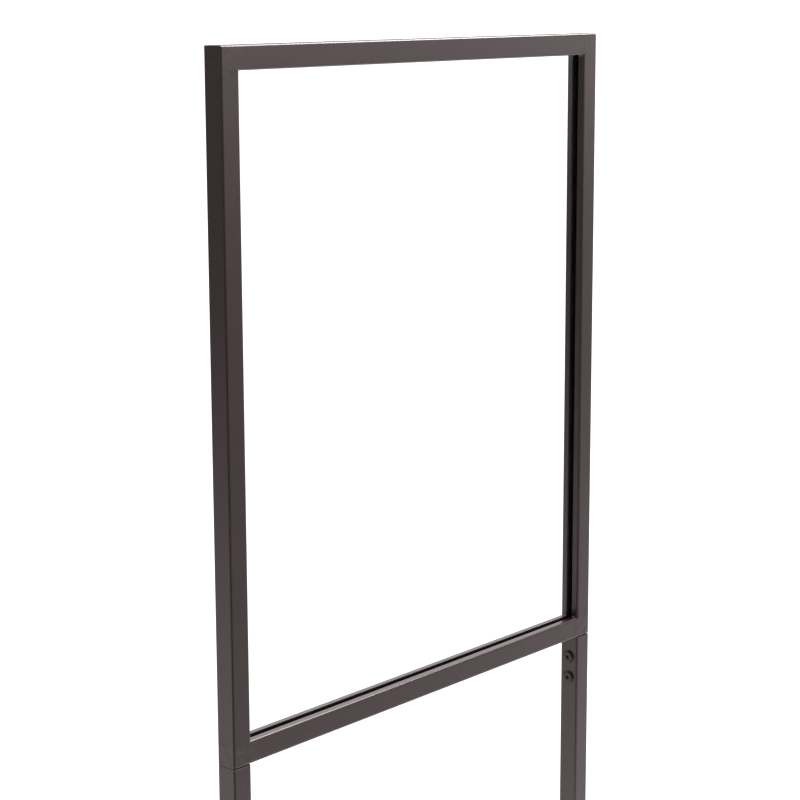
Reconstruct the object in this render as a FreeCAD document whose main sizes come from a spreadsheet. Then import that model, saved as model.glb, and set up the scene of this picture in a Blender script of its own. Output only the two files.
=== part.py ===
import FreeCAD, Part
import os
import Sketcher

# A sneeze guard on legs. A slotted square-tube frame holds a clear panel, which lifts out through a slit in
# the top rail. Two legs slip over spigots, under the frame and on two crosswise foot tubes, and are bolted
# there. X runs along the panel, Y through it, Z up. The origin is on the floor, under the guard's middle.

doc = FreeCAD.newDocument("sneeze_guard")

SIZES = (
    ("frame_width", 640.0, "outside width of the frame"),
    ("frame_height", 756.0, "outside height of the frame"),
    ("leg_length", 865.0, "length of each leg tube"),
    ("foot_length", 444.0, "length of each foot tube without its end caps"),
    ("tube_size", 25.4, "outside width of the square tube"),
    ("tube_wall", 1.5, "wall of the square tube"),
    ("tube_corner_radius", 2.5, "outside corner radius of the square tube"),
    ("joint_gap", 0.5, "gap left between the end of a leg and the tube it stands against"),
    ("leg_end_chamfer", 0.4, "bevel round the cut ends of a leg"),
    ("spigot_clearance", 0.3, "play between a spigot and the inside of a leg, each side"),
    ("spigot_wall", 2.5, "wall of the spigot tube"),
    ("spigot_corner_radius", 1.5, "outside corner radius of the spigot tube"),
    ("spigot_inner_radius", 0.8, "inside corner radius of the spigot tube"),
    ("spigot_length", 64.0, "length of a spigot from its weld"),
    ("first_bolt", 27.5, "distance of the first bolt from the joint"),
    ("bolt_spacing", 27.0, "distance between the two bolts of a joint"),
    ("bolt_radius", 3.0, "shank radius of the M6 bolts"),
    ("bolt_length", 12.0, "length of a bolt under its head"),
    ("bolt_tip_chamfer", 0.5, "bevel at the tip of a bolt"),
    ("bolt_head_radius", 8.0, "radius of the flat bolt head"),
    ("bolt_flat_radius", 6.2, "radius of the flat on top of the head, inside its bevel"),
    ("bolt_head_height", 2.8, "thickness of the bolt head"),
    ("bolt_rim_height", 1.0, "height of the upright rim under the head's bevel"),
    ("socket_across_flats", 4.0, "hexagon socket in the bolt head"),
    ("socket_depth", 2.2, "depth of the hexagon socket"),
    ("bolt_hole_clearance", 0.3, "play of a bolt in its holes, on the radius"),
    ("nut_size", 10.0, "width across flats of the square weld nuts"),
    ("nut_thickness", 5.0, "thickness of the weld nuts"),
    ("nut_clearance", 0.02, "play of a bolt in its nut, on the radius"),
    ("panel_thickness", 6.0, "thickness of the clear sheet"),
    ("panel_edge_chamfer", 0.3, "bevel on the panel's edges"),
    ("seal_depth", 12.0, "height of the U-shaped edge strip"),
    ("seal_wall", 0.85, "wall of the edge strip"),
    ("seal_grip_gap", 0.05, "play between the edge strip and the panel's faces"),
    ("slot_clearance", 0.3, "play between the edge strip and the slot in the frame, each side"),
    ("seal_setback", 1.0, "how far the side strips sit behind the posts' inner faces"),
    ("seal_end_gap", 0.2, "gap where two edge strips meet in a corner"),
    ("panel_seat_gap", 0.1, "play between the bottom strip and the rail's floor"),
    ("panel_top_setback", 0.5, "how far the top strip sits below the top rail's face"),
    ("slit_clearance", 1.0, "play at each end of the slit in the top rail"),
    ("cap_head", 3.0, "thickness of an end cap's head"),
    ("cap_edge_chamfer", 0.8, "bevel round an end cap's head"),
    ("cap_plug_length", 14.0, "length of an end cap's plug"),
    ("cap_plug_clearance", 0.9, "play between the plug and the inside of the tube, each side"),
    ("cap_plug_wall", 1.8, "wall of the plug"),
    ("cap_fin_clearance", 0.2, "play between the plug's fins and the inside of the tube, each side"),
    ("cap_fin_thickness", 1.2, "thickness of a fin"),
    ("cap_fin_spacing", 5.0, "distance between the fins"),
    ("glide_inset", 32.0, "distance of a glide from the end of its foot tube"),
    ("stem_radius", 4.0, "radius of the M8 glide stem"),
    ("stem_tip_chamfer", 0.8, "bevel at the top of a stem"),
    ("stem_length", 21.0, "threaded length of a stem above its collar"),
    ("thread_clearance", 0.05, "play of a stem in its insert, on the radius"),
    ("collar_across_flats", 13.0, "hexagon collar on a stem"),
    ("collar_thickness", 4.0, "thickness of the hexagon collar"),
    ("glide_travel", 10.0, "how far a glide can still be screwed up from where it stands"),
    ("collar_gap", 0.1, "play between a collar and the insert when the glide is screwed right up"),
    ("insert_flange_radius", 6.9, "radius of a threaded insert's flange"),
    ("insert_flange_thickness", 1.2, "thickness of the flange"),
    ("insert_radius", 5.5, "radius of an insert's barrel"),
    ("insert_length", 14.0, "length of the barrel from the flange"),
    ("insert_bulge_radius", 6.8, "radius of the crimped bulge inside the tube"),
    ("insert_bulge_height", 2.5, "height of the crimped bulge"),
    ("insert_hole_clearance", 0.1, "play of an insert in its hole, on the radius"),
    ("pad_radius", 12.5, "radius of a glide pad"),
    ("pad_height", 7.0, "height of a glide pad"),
    ("pad_rim_height", 3.5, "height of the pad's upright rim"),
    ("pad_top_radius", 8.0, "radius of the pad's top, inside its slope"),
    ("pad_edge_chamfer", 0.8, "bevel round the pad's underside"),
    ("pad_floor", 2.5, "thickness of the pad under the stem's foot"),
    ("foot_disc_radius", 4.6, "radius of the disc at the foot of a stem, held in the pad"),
    ("foot_disc_height", 2.2, "height of that disc"),
    ("neck_radius", 3.2, "radius of the stem's neck over the disc"),
    ("swivel_clearance", 0.1, "play between the stem's foot and the pad, all round"),
    ("pad_collar_gap", 0.3, "gap between a pad and the collar above it"),
)

sheet = doc.addObject("Spreadsheet::Sheet", "Sizes")
for row, (alias, number, note) in enumerate(SIZES, start=1):
    sheet.set(f"A{row}", note)
    sheet.set(f"B{row}", str(number))
    sheet.setAlias(f"B{row}", alias)
doc.recompute()

# Sizes worked out from the sheet, written once and used in the expressions below.
half_tube = "(Sizes.tube_size / 2)"
half_frame = "(Sizes.frame_width / 2)"
cavity = "(Sizes.tube_size - 2 * Sizes.tube_wall)"
tube_inner_radius = "(Sizes.tube_corner_radius - Sizes.tube_wall)"
spigot_size = f"({cavity} - 2 * Sizes.spigot_clearance)"
leg_centre = f"({half_frame} - {half_tube})"
bolt_hole_radius = "(Sizes.bolt_radius + Sizes.bolt_hole_clearance)"
second_bolt = "(Sizes.first_bolt + Sizes.bolt_spacing)"
foot_disc_floor = "(Sizes.pad_floor + Sizes.swivel_clearance)"
foot_disc_top = f"({foot_disc_floor} + Sizes.foot_disc_height)"
collar_bottom = "(Sizes.pad_height + Sizes.pad_collar_gap)"
collar_top = f"({collar_bottom} + Sizes.collar_thickness)"
foot_bottom = f"({collar_top} + Sizes.glide_travel + Sizes.collar_gap + Sizes.insert_flange_thickness)"
foot_top = f"({foot_bottom} + Sizes.tube_size)"
leg_bottom = f"({foot_top} + Sizes.joint_gap)"
frame_bottom = f"({leg_bottom} + Sizes.leg_length + Sizes.joint_gap)"
frame_top = f"({frame_bottom} + Sizes.frame_height)"
post_face = f"({half_frame} - Sizes.tube_size)"
seal_half_width = "(Sizes.panel_thickness / 2 + Sizes.seal_grip_gap + Sizes.seal_wall)"
slot_half = f"({seal_half_width} + Sizes.slot_clearance)"
seal_outer_edge = f"({post_face} + Sizes.seal_setback + Sizes.seal_depth)"
panel_edge = f"({seal_outer_edge} - Sizes.seal_wall)"
panel_bottom = f"({frame_bottom} + Sizes.tube_wall + Sizes.panel_seat_gap + Sizes.seal_wall)"
panel_top = f"({frame_top} - Sizes.panel_top_setback - Sizes.seal_wall)"
panel_height = f"({panel_top} - {panel_bottom})"
cross_seal_half = f"({panel_edge} - Sizes.seal_depth + Sizes.seal_wall - Sizes.seal_end_gap)"
slit_half = f"({seal_outer_edge} + Sizes.slit_clearance)"

X_AXIS = FreeCAD.Vector(1, 0, 0)
Y_AXIS = FreeCAD.Vector(0, 1, 0)
Z_AXIS = FreeCAD.Vector(0, 0, 1)
CUT_MARGIN = "2"      # how far a cutting outline runs past the metal it cuts
TOUCH = 1e-4          # how near two places count as the same

subparts = []


def value(expression):
    return float(sheet.evalExpression(expression))


def turned(x_to, z_to):
    """Rotation that takes a piece's own X and Z directions to the given ones."""
    return FreeCAD.Rotation(x_to, z_to.cross(x_to), z_to, "ZXY")


def place(piece, x, y, z, rotation=None):
    if rotation is not None:
        piece.Placement = FreeCAD.Placement(FreeCAD.Vector(), rotation)
    for axis, expression in zip("xyz", (x, y, z)):
        piece.setExpression(f"Placement.Base.{axis}", expression)


def register(piece, label):
    piece.Label = label
    subparts.append(piece)
    return piece


def new_body(name):
    return doc.addObject("PartDesign::Body", name)


def new_sketch(body, plane, name, lift=None):
    sketch = body.newObject("Sketcher::SketchObject", f"{body.Name}_{name}")
    support = next(item for item in body.Origin.OriginFeatures if item.Role == plane)
    sketch.AttachmentSupport = [(support, "")]
    sketch.MapMode = "FlatFace"
    if lift is not None:
        sketch.setExpression("AttachmentOffset.Base.z", lift)
    return sketch


def pin_point(sketch, geometry, vertex, across, along):
    """Hold one point at a signed distance from the sketch's origin in both directions."""
    for kind, expression in (("DistanceX", across), ("DistanceY", along)):
        size = value(expression)
        if size < 0:
            ends = (geometry, vertex, -1, 1)
            expression = f"-({expression})"
        else:
            ends = (-1, 1, geometry, vertex)
        index = sketch.addConstraint(Sketcher.Constraint(kind, *ends, abs(size)))
        sketch.setExpression(f"Constraints[{index}]", expression)


def add_loop(sketch, points):
    corners = [FreeCAD.Vector(value(across), value(along), 0) for across, along in points]
    count = len(corners)
    lines = [
        sketch.addGeometry(Part.LineSegment(corners[k], corners[(k + 1) % count]), False)
        for k in range(count)
    ]
    for k in range(count):
        sketch.addConstraint(Sketcher.Constraint("Coincident", lines[k], 2, lines[(k + 1) % count], 1))
    for line, (across, along) in zip(lines, points):
        pin_point(sketch, line, 1, across, along)


def add_box(sketch, left, right, bottom, top):
    add_loop(sketch, ((left, bottom), (right, bottom), (right, top), (left, top)))


def add_square(sketch, size):
    half = f"({size} / 2)"
    add_box(sketch, f"-{half}", half, f"-{half}", half)


def add_circle(sketch, across, along, radius):
    centre = FreeCAD.Vector(value(across), value(along), 0)
    circle = sketch.addGeometry(Part.Circle(centre, Z_AXIS, value(radius)), False)
    pin_point(sketch, circle, 3, across, along)
    index = sketch.addConstraint(Sketcher.Constraint("Radius", circle, value(radius)))
    sketch.setExpression(f"Constraints[{index}]", radius)


def add_hexagon(sketch, across_flats):
    """Regular hexagon about the sketch's origin with two flats square to its first axis."""
    half = f"({across_flats} / 2)"
    side = f"({across_flats} / sqrt(3))"
    points = ((half, f"-{side} / 2"), (half, f"{side} / 2"), ("0", side))
    opposite = ((f"-{half}", f"{side} / 2"), (f"-{half}", f"-{side} / 2"), ("0", f"-{side}"))
    add_loop(sketch, points + opposite)


def pad(body, sketch, length):
    feature = body.newObject("PartDesign::Pad", f"{sketch.Name}_pad")
    feature.Profile = sketch
    feature.setExpression("Length", length)
    doc.recompute()
    return feature


def pocket(body, sketch, length=None, side="One side", reverse=False):
    """Cut a sketch's outline to a depth, or through everything, and check that it removed material."""
    before = body.Shape.Volume
    feature = body.newObject("PartDesign::Pocket", f"{sketch.Name}_pocket")
    feature.Profile = sketch
    feature.SideType = side
    feature.Reversed = reverse
    if length is None:
        feature.Type = "ThroughAll"
    else:
        feature.setExpression("Length", length)
    doc.recompute()
    if not body.Shape.Volume < before:
        raise RuntimeError(f"{feature.Name} removed nothing")
    return feature


def revolve(body, points):
    """Turn a profile of (radius, height) points about the piece's own Z axis."""
    sketch = new_sketch(body, "XZ_Plane", "profile")
    add_loop(sketch, points)
    feature = body.newObject("PartDesign::Revolution", f"{sketch.Name}_turn")
    feature.Profile = sketch
    feature.ReferenceAxis = (sketch, ["V_Axis"])
    doc.recompute()
    return feature


def edge_names(shape, wanted):
    return [f"Edge{k}" for k, edge in enumerate(shape.Edges, start=1) if wanted(edge)]


def dress(body, kind, base, wanted, size_name, size):
    """Fillet or chamfer the edges of a feature that pass a test."""
    feature = body.newObject(f"PartDesign::{kind}", f"{base.Name}_{kind.lower()}")
    feature.Base = (base, edge_names(base.Shape, wanted))
    feature.setExpression(size_name, size)
    doc.recompute()
    return feature


def long_corner(half):
    """Test for the upright edges at the corners of a square of the given half width."""
    def wanted(edge):
        start, end = edge.Vertexes[0].Point, edge.Vertexes[-1].Point
        upright = (end - start).cross(Z_AXIS).Length < TOUCH
        return upright and abs(abs(start.x) - half) < TOUCH and abs(abs(start.y) - half) < TOUCH
    return wanted


def at_level(level, half):
    """Test for the edges that lie round the outside of a square end at one height."""
    def wanted(edge):
        flat = all(abs(vertex.Z - level) < TOUCH for vertex in edge.Vertexes)
        middle = edge.valueAt((edge.FirstParameter + edge.LastParameter) / 2)
        return flat and max(abs(middle.x), abs(middle.y)) > half
    return wanted


def square_tube(name, size, wall, outer_radius, inner_radius, length):
    """Square tube along the piece's own Z axis, from 0 to its length."""
    body = new_body(name)
    section = new_sketch(body, "XY_Plane", "section")
    inside = f"({size} - 2 * {wall})"
    add_square(section, size)
    add_square(section, inside)
    tube = pad(body, section, length)
    tube = dress(body, "Fillet", tube, long_corner(value(size) / 2), "Radius", outer_radius)
    dress(body, "Fillet", tube, long_corner(value(inside) / 2), "Radius", inner_radius)
    return body


def frame_tube(name, length):
    return square_tube(name, "Sizes.tube_size", "Sizes.tube_wall", "Sizes.tube_corner_radius",
                       tube_inner_radius, length)


def side_holes(body, name, radius, heights):
    """Round holes through the wall on the piece's +X side, at the given heights."""
    sketch = new_sketch(body, "YZ_Plane", name)
    for height in heights:
        add_circle(sketch, "0", height, radius)
    pocket(body, sketch, reverse=True)


def frame_member(name, length):
    """Frame tube, mitred at both ends, with the glazing slot along its shorter +X side."""
    body = frame_tube(name, length)
    near = f"(-{half_tube} - {CUT_MARGIN})"
    far = f"({half_tube} + {CUT_MARGIN})"
    bottom_mitre = new_sketch(body, "XZ_Plane", "bottom_mitre")
    add_loop(bottom_mitre, ((near, f"-{CUT_MARGIN}"), (far, f"-{CUT_MARGIN}"),
                            (far, f"Sizes.tube_size + {CUT_MARGIN}")))
    pocket(body, bottom_mitre, side="Symmetric")
    top_mitre = new_sketch(body, "XZ_Plane", "top_mitre")
    add_loop(top_mitre, ((near, f"{length} + {CUT_MARGIN}"),
                         (far, f"{length} - Sizes.tube_size - {CUT_MARGIN}"),
                         (far, f"{length} + {CUT_MARGIN}")))
    pocket(body, top_mitre, side="Symmetric")
    slot = new_sketch(body, "YZ_Plane", "slot")
    add_box(slot, f"-{slot_half}", slot_half, f"-{CUT_MARGIN}", f"{length} + {CUT_MARGIN}")
    pocket(body, slot, reverse=True)
    return body


def make_frame():
    along_x_slot_up = turned(Z_AXIS, X_AXIS)
    along_x_slot_down = turned(-Z_AXIS, X_AXIS)
    for label, side, rotation in (("left_post", "-", None), ("right_post", "", turned(-X_AXIS, Z_AXIS))):
        post = frame_member(label, "Sizes.frame_height")
        place(post, f"{side}{leg_centre}", "0", frame_bottom, rotation)
        register(post, label)
    bottom_rail = frame_member("bottom_rail", "Sizes.frame_width")
    place(bottom_rail, f"-{half_frame}", "0", f"{frame_bottom} + {half_tube}", along_x_slot_up)
    register(bottom_rail, "bottom_rail")
    top_rail = frame_member("top_rail", "Sizes.frame_width")
    slit = new_sketch(top_rail, "YZ_Plane", "slit")
    add_box(slit, f"-{slot_half}", slot_half, f"{half_frame} - {slit_half}", f"{half_frame} + {slit_half}")
    pocket(top_rail, slit)
    place(top_rail, f"-{half_frame}", "0", f"{frame_top} - {half_tube}", along_x_slot_down)
    register(top_rail, "top_rail")


def make_panel():
    panel = new_body("panel")
    outline = new_sketch(panel, "XY_Plane", "outline")
    add_box(outline, f"-{panel_edge}", panel_edge, "-Sizes.panel_thickness / 2", "Sizes.panel_thickness / 2")
    sheet_pad = pad(panel, outline, panel_height)
    dress(panel, "Chamfer", sheet_pad, lambda edge: True, "Size", "Sizes.panel_edge_chamfer")
    place(panel, "0", "0", panel_bottom)
    register(panel, "panel")


def edge_seal(name, length):
    """U-shaped strip along the piece's own Z axis. Its mouth faces +X and the sheet's edge lies at x = 0."""
    body = new_body(name)
    section = new_sketch(body, "XY_Plane", "section")
    outer = seal_half_width
    inner = f"({seal_half_width} - Sizes.seal_wall)"
    back = "-Sizes.seal_wall"
    mouth = "(Sizes.seal_depth - Sizes.seal_wall)"
    add_loop(section, ((back, f"-{outer}"), (mouth, f"-{outer}"), (mouth, f"-{inner}"), ("0", f"-{inner}"),
                       ("0", inner), (mouth, inner), (mouth, outer), (back, outer)))
    pad(body, section, length)
    return body


def make_seals():
    for label, side, rotation in (("panel_left_seal", "-", None),
                                  ("panel_right_seal", "", turned(-X_AXIS, Z_AXIS))):
        seal = edge_seal(label, f"{panel_height} + 2 * Sizes.seal_wall")
        place(seal, f"{side}{panel_edge}", "0", f"{panel_bottom} - Sizes.seal_wall", rotation)
        register(seal, label)
    for label, height, mouth_to in (("panel_bottom_seal", panel_bottom, Z_AXIS),
                                    ("panel_top_seal", panel_top, -Z_AXIS)):
        seal = edge_seal(label, f"2 * {cross_seal_half}")
        place(seal, f"-{cross_seal_half}", "0", height, turned(mouth_to, X_AXIS))
        register(seal, label)


def make_spigot(label, side, z, up):
    """Spigot tube welded at its own z = 0, with two bolt holes towards the middle of the guard."""
    spigot = square_tube(label, spigot_size, "Sizes.spigot_wall", "Sizes.spigot_corner_radius",
                         "Sizes.spigot_inner_radius", "Sizes.spigot_length")
    side_holes(spigot, "bolt_holes", bolt_hole_radius, ("Sizes.first_bolt", second_bolt))
    inward = X_AXIS if side == "-" else -X_AXIS
    place(spigot, f"{side}{leg_centre}", "0", z, turned(inward, Z_AXIS if up else -Z_AXIS))
    register(spigot, label)


def make_bolt(name):
    """Flat-headed socket bolt along its own Z axis, with the underside of its head at z = 0."""
    body = new_body(name)
    tip = "-Sizes.bolt_length"
    revolve(body, (("0", tip), ("Sizes.bolt_radius - Sizes.bolt_tip_chamfer", tip),
                   ("Sizes.bolt_radius", f"{tip} + Sizes.bolt_tip_chamfer"), ("Sizes.bolt_radius", "0"),
                   ("Sizes.bolt_head_radius", "0"), ("Sizes.bolt_head_radius", "Sizes.bolt_rim_height"),
                   ("Sizes.bolt_flat_radius", "Sizes.bolt_head_height"), ("0", "Sizes.bolt_head_height")))
    socket = new_sketch(body, "XY_Plane", "socket", lift="Sizes.bolt_head_height")
    add_hexagon(socket, "Sizes.socket_across_flats")
    pocket(body, socket, length="Sizes.socket_depth")
    return body


def make_nut(name):
    """Square weld nut about its own Z axis, with its welded face at z = 0 and its body below."""
    block = doc.addObject("Part::Box", f"{name}_block")
    for size in ("Length", "Width"):
        block.setExpression(size, "Sizes.nut_size")
    block.setExpression("Height", "Sizes.nut_thickness")
    place(block, "-Sizes.nut_size / 2", "-Sizes.nut_size / 2", "-Sizes.nut_thickness")
    bore = doc.addObject("Part::Cylinder", f"{name}_bore")
    bore.setExpression("Radius", "Sizes.bolt_radius + Sizes.nut_clearance")
    bore.setExpression("Height", f"Sizes.nut_thickness + 2 * {CUT_MARGIN}")
    place(bore, "0", "0", f"-Sizes.nut_thickness - {CUT_MARGIN}")
    nut = doc.addObject("Part::Cut", name)
    nut.Base = block
    nut.Tool = bore
    return nut


def group(label, pieces):
    compound = doc.addObject("Part::Compound", label)
    compound.Links = pieces
    return register(compound, label)


def make_fasteners(side_name, side, joint, heights):
    """The bolts of one joint and the weld nuts inside its spigot, on the inner face of a leg."""
    inward = X_AXIS if side == "-" else -X_AXIS
    bolts = []
    nuts = []
    for number, height in enumerate(heights, start=1):
        bolt = make_bolt(f"{side_name}_{joint}_bolt_{number}")
        place(bolt, f"{side}{post_face}", "0", height, turned(-Z_AXIS, inward))
        bolts.append(bolt)
        nut = make_nut(f"{side_name}_{joint}_nut_{number}")
        nut_face = f"({post_face} + Sizes.tube_wall + Sizes.spigot_clearance + Sizes.spigot_wall)"
        place(nut, f"{side}{nut_face}", "0", height, turned(-Z_AXIS, inward))
        nuts.append(nut)
    group(f"{side_name}_{joint}_bolts", bolts)
    group(f"{side_name}_{joint}_nuts", nuts)


def make_leg(label, side):
    leg = frame_tube(label, "Sizes.leg_length")
    from_end = ("Sizes.first_bolt - Sizes.joint_gap", f"{second_bolt} - Sizes.joint_gap")
    heights = list(from_end) + [f"Sizes.leg_length - ({height})" for height in from_end]
    side_holes(leg, "bolt_holes", bolt_hole_radius, heights)
    outside = value(half_tube) - value("Sizes.tube_wall") / 2
    for level in ("0", "Sizes.leg_length"):
        dress(leg, "Chamfer", leg.Tip, at_level(value(level), outside), "Size", "Sizes.leg_end_chamfer")
    rotation = None if side == "-" else turned(-X_AXIS, Z_AXIS)
    place(leg, f"{side}{leg_centre}", "0", leg_bottom, rotation)
    register(leg, label)


def make_foot_tube(label, side):
    """Crosswise tube with a hole for a threaded insert near each end of its underside."""
    foot = frame_tube(label, "Sizes.foot_length")
    side_holes(foot, "insert_holes", "Sizes.insert_radius + Sizes.insert_hole_clearance",
               ("Sizes.glide_inset", "Sizes.foot_length - Sizes.glide_inset"))
    place(foot, f"{side}{leg_centre}", "-Sizes.foot_length / 2", f"{foot_bottom} + {half_tube}",
          turned(-Z_AXIS, Y_AXIS))
    register(foot, label)


def make_end_cap(label, side, end):
    """Square plastic plug. Its head's underside meets the tube's end at z = 0 and its plug runs below."""
    cap = new_body(label)
    head_outline = new_sketch(cap, "XY_Plane", "head")
    add_square(head_outline, "Sizes.tube_size")
    head = pad(cap, head_outline, "Sizes.cap_head")
    head = dress(cap, "Fillet", head, long_corner(value(half_tube)), "Radius", "Sizes.tube_corner_radius")
    rim = at_level(value("Sizes.cap_head"), value(half_tube) - value("Sizes.tube_corner_radius"))
    dress(cap, "Chamfer", head, rim, "Size", "Sizes.cap_edge_chamfer")
    plug_size = f"({cavity} - 2 * Sizes.cap_plug_clearance)"
    plug = new_sketch(cap, "XY_Plane", "plug", lift="-Sizes.cap_plug_length")
    add_square(plug, plug_size)
    pad(cap, plug, "Sizes.cap_plug_length")
    fin_size = f"({cavity} - 2 * Sizes.cap_fin_clearance)"
    for number in (1, 2):
        outline = new_sketch(cap, "XY_Plane", f"fin_{number}", lift=f"-{number} * Sizes.cap_fin_spacing")
        add_square(outline, fin_size)
        fin = pad(cap, outline, "Sizes.cap_fin_thickness")
        dress(cap, "Fillet", fin, long_corner(value(fin_size) / 2), "Radius", tube_inner_radius)
    hollow = new_sketch(cap, "XY_Plane", "hollow", lift="-Sizes.cap_plug_length")
    add_square(hollow, f"({plug_size} - 2 * Sizes.cap_plug_wall)")
    pocket(cap, hollow, length="Sizes.cap_plug_length", reverse=True)
    outward = -Y_AXIS if end == "-" else Y_AXIS
    place(cap, f"{side}{leg_centre}", f"{end}Sizes.foot_length / 2", f"{foot_bottom} + {half_tube}",
          turned(X_AXIS, outward))
    register(cap, label)


def make_insert(label, x, y):
    """Blind-rivet threaded insert. Its flange lies under the foot tube and its barrel stands inside."""
    insert = new_body(label)
    bore = "(Sizes.stem_radius + Sizes.thread_clearance)"
    under = "-Sizes.insert_flange_thickness"
    bulge_top = "(Sizes.tube_wall + Sizes.insert_bulge_height)"
    flange = "Sizes.insert_flange_radius"
    barrel = "Sizes.insert_radius"
    bulge = "Sizes.insert_bulge_radius"
    top = "Sizes.insert_length"
    wall = "Sizes.tube_wall"
    revolve(insert, ((bore, under), (flange, under), (flange, "0"), (barrel, "0"), (barrel, wall),
                     (bulge, wall), (bulge, bulge_top), (barrel, bulge_top), (barrel, top), (bore, top)))
    place(insert, x, y, foot_bottom)
    register(insert, label)


def make_stem(label, x, y):
    """Threaded stem with a hexagon collar, and a disc at its foot that turns in the pad."""
    stem = new_body(label)
    tip = f"({collar_top} + Sizes.stem_length)"
    revolve(stem, (("0", foot_disc_floor), ("Sizes.foot_disc_radius", foot_disc_floor),
                   ("Sizes.foot_disc_radius", foot_disc_top), ("Sizes.neck_radius", foot_disc_top),
                   ("Sizes.neck_radius", collar_top), ("Sizes.stem_radius", collar_top),
                   ("Sizes.stem_radius", f"{tip} - Sizes.stem_tip_chamfer"),
                   ("Sizes.stem_radius - Sizes.stem_tip_chamfer", tip), ("0", tip)))
    collar = new_sketch(stem, "XY_Plane", "collar", lift=collar_bottom)
    add_hexagon(collar, "Sizes.collar_across_flats")
    pad(stem, collar, "Sizes.collar_thickness")
    place(stem, x, y, "0")
    register(stem, label)


def make_pad(label, x, y):
    """Plastic glide pad with a socket for the stem's foot."""
    glide_pad = new_body(label)
    lip = "(Sizes.neck_radius + Sizes.swivel_clearance)"
    socket = "(Sizes.foot_disc_radius + Sizes.swivel_clearance)"
    socket_top = f"({foot_disc_top} + Sizes.swivel_clearance)"
    revolve(glide_pad, (("0", "0"), ("Sizes.pad_radius - Sizes.pad_edge_chamfer", "0"),
                        ("Sizes.pad_radius", "Sizes.pad_edge_chamfer"),
                        ("Sizes.pad_radius", "Sizes.pad_rim_height"),
                        ("Sizes.pad_top_radius", "Sizes.pad_height"), (lip, "Sizes.pad_height"),
                        (lip, socket_top), (socket, socket_top), (socket, "Sizes.pad_floor"),
                        ("0", "Sizes.pad_floor")))
    place(glide_pad, x, y, "0")
    register(glide_pad, label)


def make_side(side_name, side):
    make_leg(f"{side_name}_leg", side)
    make_foot_tube(f"{side_name}_foot_tube", side)
    make_spigot(f"{side_name}_frame_spigot", side, frame_bottom, up=False)
    make_spigot(f"{side_name}_foot_spigot", side, foot_top, up=True)
    distances = ("Sizes.first_bolt", second_bolt)
    make_fasteners(side_name, side, "frame", [f"{frame_bottom} - {distance}" for distance in distances])
    make_fasteners(side_name, side, "foot", [f"{foot_top} + {distance}" for distance in distances])
    for end_name, end in (("front", "-"), ("rear", "")):
        corner = f"{side_name}_{end_name}"
        x = f"{side}{leg_centre}"
        y = f"{end}(Sizes.foot_length / 2 - Sizes.glide_inset)"
        make_end_cap(f"{corner}_end_cap", side, end)
        make_insert(f"{corner}_insert", x, y)
        make_stem(f"{corner}_glide_stem", x, y)
        make_pad(f"{corner}_glide_pad", x, y)


def check_and_write():
    doc.recompute()
    for item in doc.Objects:
        if "Invalid" in item.State or "Error" in item.State:
            raise RuntimeError(f"{item.Name} is {item.State}")
    for piece in subparts:
        if piece.Shape.isNull() or not piece.Shape.isValid():
            raise RuntimeError(f"{piece.Label} has no valid shape")
    os.makedirs("parts", exist_ok=True)
    for piece in subparts:
        piece.Shape.exportStep(f"parts/{piece.Label}.step")
        print(f"{piece.Label}: {len(piece.Shape.Solids)} solid(s), {piece.Shape.Volume / 1000:.2f} cm3")


make_frame()
make_panel()
make_seals()
for name, sign in (("left", "-"), ("right", "")):
    make_side(name, sign)
check_and_write()
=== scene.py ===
import math
import bmesh
import bpy
from mathutils import Matrix, Vector


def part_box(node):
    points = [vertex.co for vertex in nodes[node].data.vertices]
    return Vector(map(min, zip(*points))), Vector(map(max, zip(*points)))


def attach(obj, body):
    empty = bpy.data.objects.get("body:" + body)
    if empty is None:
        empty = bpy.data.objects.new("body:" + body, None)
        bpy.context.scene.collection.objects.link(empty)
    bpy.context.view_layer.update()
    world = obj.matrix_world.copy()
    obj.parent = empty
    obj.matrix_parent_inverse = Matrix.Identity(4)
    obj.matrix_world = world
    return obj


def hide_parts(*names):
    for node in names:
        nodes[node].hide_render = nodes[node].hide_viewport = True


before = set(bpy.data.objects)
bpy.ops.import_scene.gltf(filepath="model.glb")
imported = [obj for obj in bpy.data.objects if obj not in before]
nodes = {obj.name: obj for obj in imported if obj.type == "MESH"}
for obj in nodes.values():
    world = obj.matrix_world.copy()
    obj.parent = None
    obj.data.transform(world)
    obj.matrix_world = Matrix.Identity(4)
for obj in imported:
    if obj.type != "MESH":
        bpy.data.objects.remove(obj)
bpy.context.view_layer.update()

sides = ("left", "right")
ends = ("front", "rear")
scene = bpy.context.scene
mm = 0.001  # one millimetre, in metres


# camera, as a person standing left of the guard sees it

cameraSetting = {
    "spot": (-1.84306, -1.54936, 1.72858),
    "yaw": 49.4143,  # degrees from +Y towards +X
    "pitch": 10.9335,  # degrees downwards
    "roll": -0.2006,
    "lens": 96.747,
    "sensor": 36.0,
}


def placeCamera(setting):
    yaw, pitch, roll = (math.radians(setting[k]) for k in ("yaw", "pitch", "roll"))
    ahead = Vector((math.sin(yaw) * math.cos(pitch), math.cos(yaw) * math.cos(pitch), -math.sin(pitch)))
    flat = Vector((math.cos(yaw), -math.sin(yaw), 0.0))
    over = flat.cross(ahead)
    right = flat * math.cos(roll) + over * math.sin(roll)
    up = over * math.cos(roll) - flat * math.sin(roll)
    data = bpy.data.cameras.new("standingView")
    data.lens = setting["lens"]
    data.sensor_width = setting["sensor"]
    data.clip_start = 0.05
    data.clip_end = 200.0
    camera = bpy.data.objects.new("standingView", data)
    scene.collection.objects.link(camera)
    turn = Matrix((right, up, -ahead)).transposed()
    camera.matrix_world = Matrix.Translation(setting["spot"]) @ turn.to_4x4()
    scene.camera = camera


placeCamera(cameraSetting)
print("camera placed")


# shader maths: a Wire is one socket, and sums on wires add the nodes for them

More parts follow.
